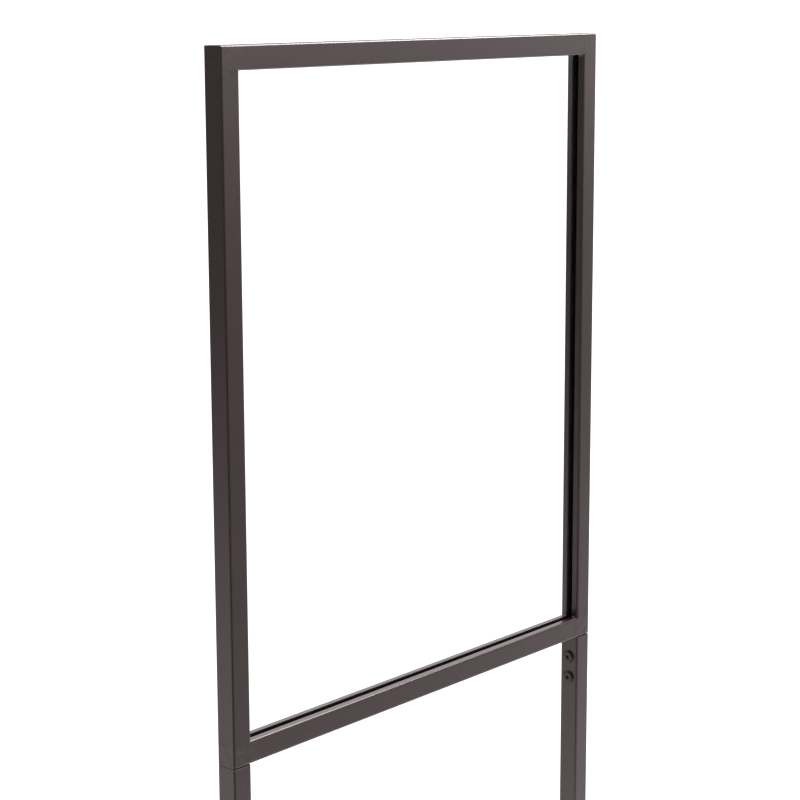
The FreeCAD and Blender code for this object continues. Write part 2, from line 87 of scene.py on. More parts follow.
class Wire:
    def __init__(self, sheet, socket):
        self.sheet = sheet
        self.socket = socket

    def sum(self, kind, *values):
        inputs = {place: value for place, value in enumerate(values)}
        return self.sheet.node("ShaderNodeMath", {"operation": kind}, inputs)

    def __add__(self, other):
        return self.sum("ADD", self, other)

    def __radd__(self, other):
        return self.sum("ADD", other, self)

    def __sub__(self, other):
        return self.sum("SUBTRACT", self, other)

    def __rsub__(self, other):
        return self.sum("SUBTRACT", other, self)

    def __mul__(self, other):
        return self.sum("MULTIPLY", self, other)

    def __rmul__(self, other):
        return self.sum("MULTIPLY", other, self)

    def __truediv__(self, other):
        return self.sum("DIVIDE", self, other)

    def __neg__(self):
        return self.sum("MULTIPLY", self, -1.0)

    def __abs__(self):
        return self.sum("ABSOLUTE", self)

    def least(self, other):
        return self.sum("MINIMUM", self, other)

    def most(self, other):
        return self.sum("MAXIMUM", self, other)

    def root(self):
        return self.sum("SQRT", self)


class Sheet:
    # a node tree being drawn, and the few moves that every finish needs
    def __init__(self, tree):
        self.tree = tree
        tree.nodes.clear()

    def node(self, kind, settings=None, inputs=None, output=0):
        made = self.tree.nodes.new(kind)
        for name, value in (settings or {}).items():
            setattr(made, name, value)
        for key, value in (inputs or {}).items():
            if isinstance(value, Wire):
                self.tree.links.new(value.socket, made.inputs[key])
            else:
                made.inputs[key].default_value = value
        return Wire(self, made.outputs[output]) if made.outputs else None

    def objectPlace(self):
        return self.node("ShaderNodeTexCoord", output="Object")

    def axes(self, vector):
        split = self.node("ShaderNodeSeparateXYZ", inputs={0: vector})
        outputs = split.socket.node.outputs
        return [Wire(self, outputs[place]) for place in range(3)]

    def rise(self, value, low, high):  # 0 below low, 1 above high, smooth between
        return self.node(
            "ShaderNodeMapRange",
            {"interpolation_type": "SMOOTHSTEP"},
            {"Value": value, "From Min": low, "From Max": high},
        )

    def grain(self, place, size, detail=2.0, stretch=(1.0, 1.0, 1.0), offset=(0.0, 0.0, 0.0)):
        # soft random field from 0 to 1, with features of about that size in metres
        moved = self.node(
            "ShaderNodeMapping",
            inputs={"Vector": place, "Location": offset, "Scale": stretch},
        )
        return self.node(
            "ShaderNodeTexNoise",
            inputs={"Vector": moved, "Scale": 1.0 / size, "Detail": detail, "Roughness": 0.55},
        )

    def specks(self, place, pitch, low, high):  # 1 inside scattered round specks
        cells = self.node(
            "ShaderNodeTexVoronoi",
            inputs={"Vector": place, "Scale": 1.0 / pitch, "Randomness": 1.0},
        )
        return 1.0 - self.rise(cells, low, high)

    def blend(self, factor, first, second):
        return self.node("ShaderNodeMix", {"data_type": "RGBA"}, {0: factor, 6: first, 7: second}, 2)

    def facing(self):  # the way the surface faces, as x, y and z
        return self.axes(self.node("ShaderNodeNewGeometry", output="Normal"))

    def relief(self, height):  # height in millimetres
        return self.node("ShaderNodeBump", inputs={"Height": height, "Distance": mm, "Strength": 1.0})


def newFinish(name):
    material = bpy.data.materials.new(name)
    material.use_nodes = True
    return material, Sheet(material.node_tree)


def closeFinish(sheet, surface):
    sheet.node("ShaderNodeOutputMaterial", inputs={"Surface": surface})


# bronze powder coat on the square tubes

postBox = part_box("right_post")
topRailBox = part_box("top_rail")
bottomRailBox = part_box("bottom_rail")
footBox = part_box("right_foot_tube")
uprightLine = (postBox[0].x + postBox[1].x) / 2
topLine = (topRailBox[0].z + topRailBox[1].z) / 2
bottomLine = (bottomRailBox[0].z + bottomRailBox[1].z) / 2
footLine = (footBox[0].z + footBox[1].z) / 2

coatSetting = {
    "deep": (0.0430, 0.0262, 0.0250, 1.0),
    "warm": (0.0600, 0.0368, 0.0345, 1.0),
    "rubbed": (0.0950, 0.0720, 0.0680, 1.0),
    "dust": (0.1900, 0.1700, 0.1600, 1.0),
    "roughness": 0.40,
    "flake": 0.60,  # share of metal flake in the powder
    "skin": 0.85,  # weight of the smooth skin over it
    "skinRoughness": 0.20,
    "halfTube": (postBox[1].x - postBox[0].x) / 2,
    "edgeBand": 0.0030,
    "peelSize": 0.0016,
    "cloudSize": 0.022,
    "driftSize": 0.16,
    "nibPitch": 0.021,
    "scratchSize": 0.0009,
    "rubSize": 0.012,
    "dustSize": 0.006,
    "peelHeight": 0.0045,  # heights in millimetres
    "cloudHeight": 0.010,
    "nibHeight": 0.022,
    "scratchDepth": 0.003,
}

mitreSetting = {
    "ridgeWidth": 0.0018,
    "groundEdge": (0.022, 0.036),
    "dressedEdge": (0.008, 0.018),
    "waveSize": 0.008,
    "dressingSize": 0.0030,
    "ridgeHeight": 0.03,
    "waveHeight": 0.75,
    "dressingHeight": 0.15,
    "unevenGloss": 0.14,
}


def mitreMarks(sheet, place, s):
    # the mitres are welded and ground flush, which leaves a faint ridge and uneven ground spots
    x, y, z = sheet.axes(place)
    inward = postBox[1].x - abs(x)
    nearest = (topRailBox[1].z - z).least(z - bottomRailBox[0].z)
    ridge = 1.0 - sheet.rise(abs(inward - nearest), 0.0, s["ridgeWidth"])
    ground = 1.0 - sheet.rise(inward.most(nearest), *s["groundEdge"])
    dressed = ground * sheet.rise(inward.least(nearest), *s["dressedEdge"])
    waves = sheet.grain(place, s["waveSize"], 1.0, offset=(0.11, 0.0, 0.05))
    height = ground * ridge * s["ridgeHeight"] + ground * waves * s["waveHeight"]
    height = height + dressed * sheet.grain(place, s["dressingSize"], 1.0) * s["dressingHeight"]
    return height, ground * (waves - 0.5) * s["unevenGloss"]


def powderCoat(name, section, along, corners=False, dustier=0.0, shade=1.0):
    # section gives the wires of the two directions across the tube; along is its stretch for fine scratches
    s = coatSetting
    material, sheet = newFinish(name)
    place = sheet.objectPlace()
    half = s["halfTube"]
    across, through = section(*sheet.axes(place))
    edge = sheet.rise(abs(across), half - s["edgeBand"], half)
    edge = edge * sheet.rise(abs(through), half - s["edgeBand"], half)
    peel = sheet.grain(place, s["peelSize"], 1.0)
    cloud = sheet.grain(place, s["cloudSize"], 3.0)
    drift = sheet.grain(place, s["driftSize"], 2.0, offset=(0.3, 0.1, 0.7))
    nibs = sheet.specks(place, s["nibPitch"], 0.010, 0.022)
    scratch = sheet.rise(sheet.grain(place, s["scratchSize"], 2.0, stretch=along), 0.66, 0.80)
    scratch = scratch * sheet.rise(cloud, 0.48, 0.62)
    rub = edge * sheet.rise(sheet.grain(place, s["rubSize"], 3.0), 0.42, 0.72)
    upFace = sheet.rise(sheet.facing()[2], 0.70, 0.95)
    dust = upFace * sheet.rise(sheet.grain(place, s["dustSize"], 4.0), 0.35, 0.75)
    # a shade below one darkens the whole coat: painted shade, used for the spigots seen in the joint seams
    deep, warm = ([part * shade for part in s[k][:3]] + [1.0] for k in ("deep", "warm"))
    colour = sheet.blend(drift * 0.6 + cloud * 0.4, deep, warm)
    colour = sheet.blend(rub * 0.30, colour, s["rubbed"])
    colour = sheet.blend(scratch * 0.18, colour, s["rubbed"])
    colour = sheet.blend(dust * (0.05 + dustier), colour, s["dust"])
    rough = s["roughness"] + (cloud - 0.5) * 0.10 + (drift - 0.5) * 0.06
    rough = rough - rub * 0.05 + scratch * 0.10 + dust * 0.12
    height = peel * s["peelHeight"] + cloud * s["cloudHeight"]
    height = height + nibs * s["nibHeight"] - scratch * s["scratchDepth"]
    if corners:
        markHeight, markRough = mitreMarks(sheet, place, mitreSetting)
        height = height + markHeight
        rough = rough + markRough
    surface = sheet.node(
        "ShaderNodeBsdfPrincipled",
        inputs={
            "Base Color": colour,
            "Metallic": s["flake"],
            "Roughness": rough,
            "IOR": 1.5,
            "Coat Weight": s["skin"] - rub * 0.3,
            "Coat Roughness": s["skinRoughness"],
            "Normal": sheet.relief(height),
        },
    )
    closeFinish(sheet, surface)
    return material


def uprightSection(x, y, z):
    return abs(x) - uprightLine, y


def topSection(x, y, z):
    return z - topLine, y


def bottomSection(x, y, z):
    return z - bottomLine, y


def footSection(x, y, z):
    return abs(x) - uprightLine, z - footLine


postCoat = powderCoat("bronzePostCoat", uprightSection, (1.0, 1.0, 0.03), corners=True)
topRailCoat = powderCoat("bronzeTopRailCoat", topSection, (0.03, 1.0, 1.0), corners=True)
bottomRailCoat = powderCoat("bronzeBottomRailCoat", bottomSection, (0.03, 1.0, 1.0), corners=True)
legCoat = powderCoat("bronzeLegCoat", uprightSection, (1.0, 1.0, 0.03))
footCoat = powderCoat("bronzeFootCoat", footSection, (1.0, 0.03, 1.0), dustier=0.10)
# painted shade: the spigots are darkened to a quarter so the seams at the joints read as shadow
spigotShadeCoat = powderCoat("bronzeThinCoat", uprightSection, (1.0, 1.0, 0.03), shade=0.25)  # inside the joints


# the other finishes

enamelSetting = {
    "deep": (0.036, 0.022, 0.021, 1.0),
    "warm": (0.050, 0.031, 0.029, 1.0),
    "chipped": (0.12, 0.09, 0.085, 1.0),
    # painted shade for the bolt heads' bevels
    "bevelShade": (0.010, 0.006, 0.006, 1.0),
    "roughness": 0.32,
    "flake": 0.6,
    "skin": 0.60,
    "skinRoughness": 0.22,
    "fineSize": 0.0007,
    "patchSize": 0.0045,
    "chipPitch": 0.0042,
    "fineHeight": 0.008,
    "chipDepth": 0.02,
}


def boltEnamel(s):
    material, sheet = newFinish("bronzeBoltEnamel")
    place = sheet.objectPlace()
    fine = sheet.grain(place, s["fineSize"], 2.0)
    patch = sheet.grain(place, s["patchSize"], 3.0)
    chips = sheet.specks(place, s["chipPitch"], 0.05, 0.11) * sheet.rise(patch, 0.52, 0.60)
    bevel = 1.0 - sheet.rise(abs(sheet.facing()[0]), 0.82, 0.97)  # painted shade on the head's bevel, where the skin is also thinner
    colour = sheet.blend(patch, s["deep"], s["warm"])
    colour = sheet.blend(chips * 0.4, colour, s["chipped"])
    colour = sheet.blend(bevel * 0.75, colour, s["bevelShade"])
    surface = sheet.node(
        "ShaderNodeBsdfPrincipled",
        inputs={
            "Base Color": colour,
            "Metallic": s["flake"],
            "Roughness": s["roughness"] + patch * 0.16 + chips * 0.12,
            "IOR": 1.5,
            "Coat Weight": s["skin"] - bevel * 0.40,
            "Coat Roughness": s["skinRoughness"],
            "Normal": sheet.relief(fine * s["fineHeight"] - chips * s["chipDepth"]),
        },
    )
    closeFinish(sheet, surface)
    return material


acrylicSetting = {
    "clear": (0.965, 0.975, 0.975, 1.0),
    "gloss": (0.84, 0.86, 0.86, 1.0),
    "sawn": (0.30, 0.37, 0.36, 1.0),
    "index": 1.49,
    "roughness": 0.035,
    "sawnRoughness": 0.22,
    "sawnShare": 0.50,
    "wipeSize": 0.05,
    "hairSize": 0.0011,
    "dustPitch": 0.017,
    "sawSize": 0.004,
    "wipeHeight": 0.01,
    "dustHeight": 0.02,
    "hairDepth": 0.002,
}


def clearSheet(s, name, edge=False):
    # cast acrylic: what is behind shows through, with gloss that grows towards a glancing view
    material, sheet = newFinish(name)
    place = sheet.objectPlace()
    wipe = sheet.grain(place, s["wipeSize"], 3.0, stretch=(0.35, 1.0, 1.3))
    hair = sheet.rise(sheet.grain(place, s["hairSize"], 2.0, stretch=(1.0, 1.0, 0.04)), 0.70, 0.84)
    dust = sheet.specks(place, s["dustPitch"], 0.012, 0.030)
    if edge:
        sawMarks = sheet.grain(place, s["sawSize"], 2.0, stretch=(0.15, 1.0, 0.15))
        share = s["sawnShare"] + sawMarks * 0.20
        rough = s["sawnRoughness"] + wipe * 0.12
    else:
        entering = 1.0 - sheet.node("ShaderNodeNewGeometry", output="Backfacing")
        glance = sheet.node("ShaderNodeFresnel", inputs={"IOR": s["index"]}) * entering
        share = glance * 0.5 + (dust * 0.03 + hair * 0.010) * entering
        rough = s["roughness"] + wipe * 0.05 + hair * 0.10
    clear = sheet.node("ShaderNodeBsdfTransparent", inputs={"Color": s["clear"]})
    height = wipe * s["wipeHeight"] + dust * s["dustHeight"] - hair * s["hairDepth"]
    skin = sheet.node(
        "ShaderNodeBsdfPrincipled",
        inputs={
            "Base Color": s["sawn"] if edge else s["gloss"],
            "Roughness": rough,
            "Metallic": 0.0 if edge else 1.0,
            "IOR": s["index"],
            "Normal": sheet.relief(height),
        },
    )
    surface = sheet.node("ShaderNodeMixShader", inputs={0: share, 1: clear, 2: skin})
    closeFinish(sheet, surface)
    return material


rubberSetting = {
    "black": (0.0200, 0.0160, 0.0155, 1.0),
    "bloomed": (0.0340, 0.0290, 0.0280, 1.0),
    "roughness": 0.62,
    "drawSize": 0.0012,
    "bloomSize": 0.03,
    "drawHeight": 0.02,
}


def extrudedRubber(s):
    material, sheet = newFinish("blackEdgeRubber")
    place = sheet.objectPlace()
    draw = sheet.grain(place, s["drawSize"], 2.0, stretch=(0.06, 1.0, 0.06))
    bloom = sheet.grain(place, s["bloomSize"], 3.0)
    surface = sheet.node(
        "ShaderNodeBsdfPrincipled",
        inputs={
            "Base Color": sheet.blend(sheet.rise(bloom, 0.4, 0.8), s["black"], s["bloomed"]),
            "Roughness": s["roughness"] + bloom * 0.20,
            "IOR": 1.35,
            "Normal": sheet.relief(draw * s["drawHeight"]),
        },
    )
    closeFinish(sheet, surface)
    return material


plasticSetting = {
    "black": (0.0120, 0.0118, 0.0120, 1.0),
    "faded": (0.0210, 0.0205, 0.0205, 1.0),
    "scuffed": (0.075, 0.073, 0.072, 1.0),
    "roughness": 0.46,
    "sparkSize": 0.0006,
    "flowSize": 0.011,
    "scuffSize": 0.0011,
    "sparkHeight": 0.018,
    "scuffDepth": 0.006,
}


def mouldedPlastic(s):
    material, sheet = newFinish("blackMouldedPlastic")
    place = sheet.objectPlace()
    spark = sheet.grain(place, s["sparkSize"], 2.0)
    flow = sheet.grain(place, s["flowSize"], 3.0)
    scuff = sheet.rise(sheet.grain(place, s["scuffSize"], 2.0, stretch=(1.0, 0.15, 1.0)), 0.66, 0.80)
    colour = sheet.blend(flow, s["black"], s["faded"])
    colour = sheet.blend(scuff * 0.25, colour, s["scuffed"])
    surface = sheet.node(
        "ShaderNodeBsdfPrincipled",
        inputs={
            "Base Color": colour,
            "Roughness": s["roughness"] + flow * 0.16 + scuff * 0.12,
            "IOR": 1.49,
            "Normal": sheet.relief(spark * s["sparkHeight"] - scuff * s["scuffDepth"]),
        },
    )
    closeFinish(sheet, surface)
    return material


zincSetting = {
    "dull": (0.56, 0.57, 0.58, 1.0),
    "bright": (0.70, 0.70, 0.69, 1.0),
    "stained": (0.42, 0.38, 0.31, 1.0),
    "roughness": 0.26,
    "spangleSize": 0.0035,
    "turningSize": 0.0007,
    "stainSize": 0.010,
    "turningHeight": 0.010,
    "spangleHeight": 0.006,
}


def zincPlate(s):
    material, sheet = newFinish("zincPlate")
    place = sheet.objectPlace()
    spangle = sheet.grain(place, s["spangleSize"], 3.0)
    turning = sheet.grain(place, s["turningSize"], 2.0, stretch=(0.3, 0.3, 1.0))
    stain = sheet.rise(sheet.grain(place, s["stainSize"], 3.0, offset=(0.2, 0.4, 0.0)), 0.50, 0.80)
    colour = sheet.blend(spangle, s["dull"], s["bright"])
    colour = sheet.blend(stain * 0.35, colour, s["stained"])
    surface = sheet.node(
        "ShaderNodeBsdfPrincipled",
        inputs={
            "Base Color": colour,
            "Metallic": 1.0,
            "Roughness": s["roughness"] + spangle * 0.14 + stain * 0.14,
            "Normal": sheet.relief(turning * s["turningHeight"] + spangle * s["spangleHeight"]),
        },
    )
    closeFinish(sheet, surface)
    return material


boltFinish = boltEnamel(enamelSetting)
panelFinish = clearSheet(acrylicSetting, "clearAcrylic")
panelEdgeFinish = clearSheet(acrylicSetting, "sawnAcrylicEdge", edge=True)
rubberFinish = extrudedRubber(rubberSetting)
plasticFinish = mouldedPlastic(plasticSetting)
zincFinish = zincPlate(zincSetting)
print("finishes mixed")


# mesh helpers

def newPiece(name, mesh, finishes):
    piece = bpy.data.objects.new(name, mesh)
    scene.collection.objects.link(piece)
    piece.data.materials.clear()
    for finish in finishes:
        piece.data.materials.append(finish)
    return piece


def softShade(mesh, degrees):  # smooth faces, with crisp edges past that angle
    mesh.shade_smooth()
    mesh.set_sharp_from_angle(angle=math.radians(degrees))


def settle(piece):  # turns the modifiers' result into the piece's plain mesh
    bpy.context.view_layer.update()
    graph = bpy.context.evaluated_depsgraph_get()
    result = bpy.data.meshes.new_from_object(
        piece.evaluated_get(graph), preserve_all_data_layers=True, depsgraph=graph
    )
    piece.modifiers.clear()
    piece.data = result


def holdFlats(piece):  # keeps the broad faces flat in the shading, so that only the rounded edges turn
    weigh = piece.modifiers.new("flatFaces", "WEIGHTED_NORMAL")
    weigh.mode = "FACE_AREA"
    weigh.weight = 80
    weigh.keep_sharp = True
    settle(piece)


def finishedPiece(piece, body, slotName, *replaced):
    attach(piece, body)
    if replaced:
        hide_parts(*replaced)


def meshFrom(build, name):
    shape = bmesh.new()
    build(shape)
    bmesh.ops.remove_doubles(shape, verts=shape.verts, dist=1e-7)
    bmesh.ops.recalc_face_normals(shape, faces=shape.faces)
    mesh = bpy.data.meshes.new(name)
    shape.to_mesh(mesh)
    shape.free()
    return mesh


def joinRings(shape, rings):  # skins the rings in turn and closes both ends
    for lower, upper in zip(rings, rings[1:]):
        count = max(len(lower), len(upper))
        for place in range(count):
            after = (place + 1) % count
            if len(lower) == 1:
                shape.faces.new((lower[0], upper[after], upper[place]))
            elif len(upper) == 1:
                shape.faces.new((lower[place], lower[after], upper[0]))
            else:
                shape.faces.new((lower[place], lower[after], upper[after], upper[place]))
    for closing in (rings[0][::-1], rings[-1]):
        if len(closing) > 2:
            shape.faces.new(closing)


def hexReach(angle, flat):  # how far a hexagon with that half width across flats reaches at an angle
    turn = (angle + math.pi / 6) % (math.pi / 3) - math.pi / 6
    return flat / math.cos(turn)


def turnedRings(shape, profile, segments, spot):
    # profile rows are (radius, height) in mm, with "hex" as a third word where the ring is a hexagon
    rings = []
    for row in profile:
        radius, height = row[:2]
        if radius == 0:
            rings.append([shape.verts.new(spot(0.0, 0.0, height))])
            continue
        ring = []
        for step in range(segments):
            angle = 2 * math.pi * step / segments
            reach = hexReach(angle, radius) if len(row) > 2 else radius
            ring.append(shape.verts.new(spot(reach * math.cos(angle), reach * math.sin(angle), height)))
        rings.append(ring)
    joinRings(shape, rings)


def squareRing(half, corner, steps=5):  # points of a square with rounded corners, counter-clockwise
    points = []
    reach = half - corner
    for quarter in range(4):
        middle = math.radians(90 * quarter + 45)
        centre = (math.copysign(reach, math.cos(middle)), math.copysign(reach, math.sin(middle)))
        for step in range(steps):
            angle = math.radians(90 * quarter + 90 * step / (steps - 1))
            points.append((centre[0] + corner * math.cos(angle), centre[1] + corner * math.sin(angle)))
    return points


# square tubes: the shape is the design's own, merged and shaded smooth round its edges

tubeFinishes = {
    "left_post": postCoat,
    "right_post": postCoat,
    "top_rail": topRailCoat,
    "bottom_rail": bottomRailCoat,
    "left_leg": legCoat,
    "right_leg": legCoat,
    "left_foot_tube": footCoat,
    "right_foot_tube": footCoat,
    "left_frame_spigot": spigotShadeCoat,
    "right_frame_spigot": spigotShadeCoat,
    "left_foot_spigot": spigotShadeCoat,
    "right_foot_spigot": spigotShadeCoat,
}


tubeSetting = {"sameSpot": 2e-6, "crispPast": 26}


def smoothTube(node, finish, s):
    mesh = nodes[node].data.copy()
    shape = bmesh.new()
    shape.from_mesh(mesh)
    bmesh.ops.remove_doubles(shape, verts=shape.verts, dist=s["sameSpot"])
    shape.to_mesh(mesh)
    shape.free()
    oldNormals = mesh.attributes.get("custom_normal")
    if oldNormals:
        mesh.attributes.remove(oldNormals)
    softShade(mesh, s["crispPast"])
    piece = newPiece(node + "_coated", mesh, [finish])
    holdFlats(piece)
    finishedPiece(piece, "stand", "bronze_powder_coat", node)


for node, finish in tubeFinishes.items():
    smoothTube(node, finish, tubeSetting)
print("tubes coated")


# small fillets of weld in the four inner corners of the frame, dressed by hand and coated over

weldSetting = {
    "reach": 2.3,
    "sunk": 0.5,
    "from": 4.35,  # from the slot's lip out to the tube's rounded edge
    "to": 9.6,
    "rows": 8,
    "arc": 7,
    "taper": 0.08,
    "fullness": 0.35,
    "unevenness": 0.07,
}


def weldReach(s, row, sideSign, upSign, faceSign):  # the fillet thins at its ends and ripples a little
    share = min(max(row / (s["rows"] - 1), s["taper"]), 1 - s["taper"])
    swell = math.sin(math.pi * share) ** s["fullness"]
    ripple = math.sin(5.1 * row + 2 * sideSign + upSign + 0.7 * faceSign)
    return s["reach"] * swell * (1 + s["unevenness"] * ripple)


def weldOutline(s, reach):  # two legs sunk into the tubes and a hollow face between them
    outline = [(-s["sunk"], -s["sunk"]), (reach, -s["sunk"])]
    for step in range(s["arc"]):
        angle = math.radians(270 - 90 * step / (s["arc"] - 1))
        outline.append((reach + reach * math.cos(angle), reach + reach * math.sin(angle)))
    outline.append((-s["sunk"], reach))
    return outline


def cornerWelds(s):
    opening = postBox[0].x
    corners = ((bottomRailBox[1].z, 1), (topRailBox[0].z, -1))

    def layWeld(shape, sideSign, corner, upSign, faceSign):
        rings = []
        for row in range(s["rows"]):
            depth = s["from"] + (s["to"] - s["from"]) * row / (s["rows"] - 1)
            reach = weldReach(s, row, sideSign, upSign, faceSign)
            rings.append([
                shape.verts.new((
                    sideSign * (opening - across * mm),
                    faceSign * depth * mm,
                    corner + upSign * along * mm,
                ))
                for across, along in weldOutline(s, reach)
            ])
        joinRings(shape, rings)

    def build(shape):
        for sideSign in (-1, 1):
            for corner, upSign in corners:
                for faceSign in (-1, 1):
                    layWeld(shape, sideSign, corner, upSign, faceSign)

    mesh = meshFrom(build, "cornerWelds")
    softShade(mesh, 40)
    piece = newPiece("cornerWelds", mesh, [postCoat])
    finishedPiece(piece, "stand", "bronze_powder_coat")


cornerWelds(weldSetting)
print("corner welds laid")


# clear panel with eased, sawn edges

panelSetting = {"ease": 0.0005, "steps": 3}


def clearPanel(s):
    low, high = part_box("panel")

    def build(shape):
        made = bmesh.ops.create_cube(shape, size=1.0)["verts"]
        for vertex in made:
            vertex.co = Vector([low[k] + (vertex.co[k] + 0.5) * (high[k] - low[k]) for k in range(3)])
        bmesh.ops.bevel(
            shape, geom=shape.edges[:], offset=s["ease"], segments=s["steps"], profile=0.5, affect="EDGES"
        )

    mesh = meshFrom(build, "clearPanel")
    softShade(mesh, 40)
    piece = newPiece("clearPanel", mesh, [panelFinish, panelEdgeFinish])
    for face in mesh.polygons:
        face.material_index = 0 if abs(face.normal.y) > 0.9 else 1
    holdFlats(piece)
    finishedPiece(piece, "panel_sheet", "clear_acrylic", "panel")


clearPanel(panelSetting)
print("panel cut")


# furniture bolts with a hexagon socket, two to a joint

boltSetting = {
    "count": 2,
    "head": 8.0,  # radii and heights in mm
    "flat": 6.2,
    "thick": 2.8,
    "rim": 1.0,
    "shank": 12.0,
    "tip": 2.2,
    "crest": 2.98,
    "root": 2.45,
    "thread": 1.0,
    "socket": 2.0,
    "deep": 2.2,
    "segments": 48,
}


def boltProfile(s):
    rows = [(0, -s["shank"]), (s["tip"], -s["shank"])]
    rise = -s["shank"] + 0.5
    while rise < -0.9:
        rows += [(s["crest"], rise), (s["root"], rise + s["thread"] / 2)]
        rise += s["thread"]
    rows += [
        (s["crest"], -0.45),
        (s["crest"], 0.02),
        (s["head"] - 0.25, 0.02),
        (s["head"] - 0.06, 0.10),
        (s["head"], 0.28),
        (s["head"], s["rim"] - 0.25),
        (s["head"] - 0.07, s["rim"] - 0.05),
        (s["head"] - 0.22, s["rim"] + 0.12),
        (s["flat"] + 0.28, s["thick"] - 0.26),
        (s["flat"] + 0.10, s["thick"] - 0.09),
        (s["flat"] - 0.18, s["thick"] - 0.01),
        (s["flat"] - 0.50, s["thick"]),
        (s["socket"] + 0.75, s["thick"]),
        (s["socket"] + 0.22, s["thick"] - 0.05, "hex"),
        (s["socket"], s["thick"] - 0.28, "hex"),
        (s["socket"], s["thick"] - s["deep"] + 0.1, "hex"),
        (s["socket"] - 0.15, s["thick"] - s["deep"], "hex"),
        (0, s["thick"] - s["deep"] - 0.25),
    ]
    return rows


def boltPattern(s):
    def spot(u, v, height):
        return Vector((height, u, v)) * mm

    mesh = meshFrom(lambda shape: turnedRings(shape, boltProfile(s), s["segments"], spot), "boltPattern")
    softShade(mesh, 32)
    return newPiece("boltPattern", mesh, [boltFinish])


def addSocket(tree, name, kind, direction="INPUT"):
    return tree.interface.new_socket(name=name, in_out=direction, socket_type=kind).identifier


def boltRowTree():
    tree = bpy.data.node_groups.new("boltRow", "GeometryNodeTree")
    keys = {
        "pattern": addSocket(tree, "Bolt", "NodeSocketObject"),
        "first": addSocket(tree, "First bolt", "NodeSocketVector"),
        "step": addSocket(tree, "Step", "NodeSocketVector"),
        "count": addSocket(tree, "Count", "NodeSocketInt"),
        "facing": addSocket(tree, "Facing", "NodeSocketVector"),
        "finish": addSocket(tree, "Finish", "NodeSocketMaterial"),
    }
    addSocket(tree, "Geometry", "NodeSocketGeometry", "OUTPUT")
    make, link = tree.nodes.new, tree.links.new
    start = make("NodeGroupInput")
    last = make("NodeGroupOutput")
    pattern = make("GeometryNodeObjectInfo")
    row = make("GeometryNodeMeshLine")
    row.mode = "OFFSET"
    copies = make("GeometryNodeInstanceOnPoints")
    real = make("GeometryNodeRealizeInstances")
    paint = make("GeometryNodeSetMaterial")
    link(start.outputs["Bolt"], pattern.inputs["Object"])
    link(start.outputs["Count"], row.inputs["Count"])
    link(start.outputs["First bolt"], row.inputs["Start Location"])
    link(start.outputs["Step"], row.inputs["Offset"])
    link(row.outputs["Mesh"], copies.inputs["Points"])
    link(pattern.outputs["Geometry"], copies.inputs["Instance"])
    link(start.outputs["Facing"], copies.inputs["Rotation"])
    link(copies.outputs["Instances"], real.inputs["Geometry"])
    link(real.outputs["Geometry"], paint.inputs["Geometry"])
    link(start.outputs["Finish"], paint.inputs["Material"])
    link(paint.outputs["Geometry"], last.inputs["Geometry"])
    return tree, keys


def boltRow(node, side, pattern, tree, keys, s):
    low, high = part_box(node)
    radius = s["head"] * mm
    seat = high.x - s["thick"] * mm if side == "left" else low.x + s["thick"] * mm
    middle = (low.y + high.y) / 2
    piece = newPiece(node + "_row", bpy.data.meshes.new(node + "_row"), [])
    row = piece.modifiers.new("boltRow", "NODES")
    row.node_group = tree
    row[keys["pattern"]] = pattern
    row[keys["first"]] = (seat, middle, low.z + radius)
    row[keys["step"]] = (0.0, 0.0, (high.z - low.z - 2 * radius) / (s["count"] - 1))
    row[keys["count"]] = s["count"]
    row[keys["facing"]] = (0.0, 0.0, 0.0 if side == "left" else math.pi)
    row[keys["finish"]] = boltFinish
    settle(piece)
    finishedPiece(piece, "stand", "bronze_bolt", node)


pattern = boltPattern(boltSetting)
rowTree, rowKeys = boltRowTree()
for side in sides:
    for joint in ("frame", "foot"):
        boltRow(f"{side}_{joint}_bolts", side, pattern, rowTree, rowKeys, boltSetting)
bpy.data.objects.remove(pattern)
print("bolts driven")


# levelling glides: a moulded pad, and a threaded stem with its spanner collar

glideSetting = {
    "padRadius": 12.5,  # radii and heights over the floor, in mm
    "padHeight": 7.0,
    "socket": 4.4,
    "stem": 3.48,
    "crest": 4.0,
    "ridge": 0.52,
    "pitch": 1.25,
    "threadStart": 0.9,
    "threadEnd": 1.5,
    "collar": 6.5,
    "collarLow": 7.3,
    "collarHigh": 11.3,
    "foot": 2.6,
    "ball": 4.0,
    "neck": 3.1,
    "tip": 32.3,
    "segments": 48,
    "stemSegments": 36,
}


def padProfile(s):
    r, h = s["padRadius"], s["padHeight"]
    return [
        (0, 0.7),
        (6.8, 0.7),
        (7.2, 0.55),
        (7.5, 0.12),
        (7.9, 0.0),
        (r - 1.0, 0.0),
        (r - 0.35, 0.15),
        (r - 0.06, 0.5),
        (r, 1.0),
        (r, 2.3),
        (r - 0.10, 2.42),
        (r - 0.35, 4.1),
        (r - 0.95, 5.4),
        (r - 1.9, 6.3),
        (r - 3.1, 6.82),
        (r - 4.3, h),
        (6.3, h),
        (5.7, h - 0.2),
        (5.2, h - 0.8),
        (s["socket"], h - 1.2),
        (s["socket"], 2.2),
        (3.6, 1.9),
        (0, 1.8),
    ]


def stemProfile(s):
    low, high = s["collarLow"], s["collarHigh"]
    return [
        (0, s["foot"]),
        (2.6, s["foot"]),
        (s["ball"] - 0.3, s["foot"] + 0.7),
        (s["ball"], s["foot"] + 1.6),
        (s["ball"] - 0.3, s["foot"] + 2.5),
        (s["neck"], s["foot"] + 3.0),
        (s["neck"], low - 0.1),
        (s["collar"] - 0.35, low, "hex"),
        (s["collar"], low + 0.3, "hex"),
        (s["collar"], high - 0.3, "hex"),
        (s["collar"] - 0.35, high, "hex"),
        (s["stem"], high + 0.02),
        (s["stem"], s["tip"] - 0.9),
        (s["stem"] - 0.75, s["tip"]),
        (0, s["tip"]),
    ]


